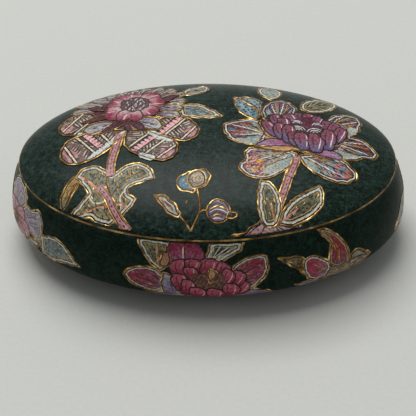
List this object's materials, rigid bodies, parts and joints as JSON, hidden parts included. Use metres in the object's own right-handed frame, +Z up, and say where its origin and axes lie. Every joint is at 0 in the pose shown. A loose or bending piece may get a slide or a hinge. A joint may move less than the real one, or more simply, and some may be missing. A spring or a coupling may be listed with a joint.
{
  "type": "oval lidded trinket box",
  "caption": "Low oval porcelain box with a bulging footed base and a lift-off domed lid located by an inner flange, for pills, rings or trinkets.",
  "frame": {"origin": "centre of the foot ring's standing face, on the table", "axes": "+Z up, along the way the lid lifts; X along the length of the oval; -Y is the front, the side seen with the two flowers upright"},
  "size_m": [0.1404, 0.0912, 0.0432],
  "materials": {
    "green_glaze": "glossy mottled dark green glaze",
    "gilt": "fired gold line",
    "enamel": "overglaze enamel painting in pink, violet, white and grey-green"
  },
  "bodies": {
    "base": {"base_body": "green_glaze"},
    "lid": {"lid_body": "green_glaze", "lid_gilt_line": "gilt"}
  },
  "joints": [
    {"name": "lid_lift", "type": "slide", "parent": "base", "child": "lid", "axis": [0, 0, 1], "range_m": [0, 0.06]}
  ]
}
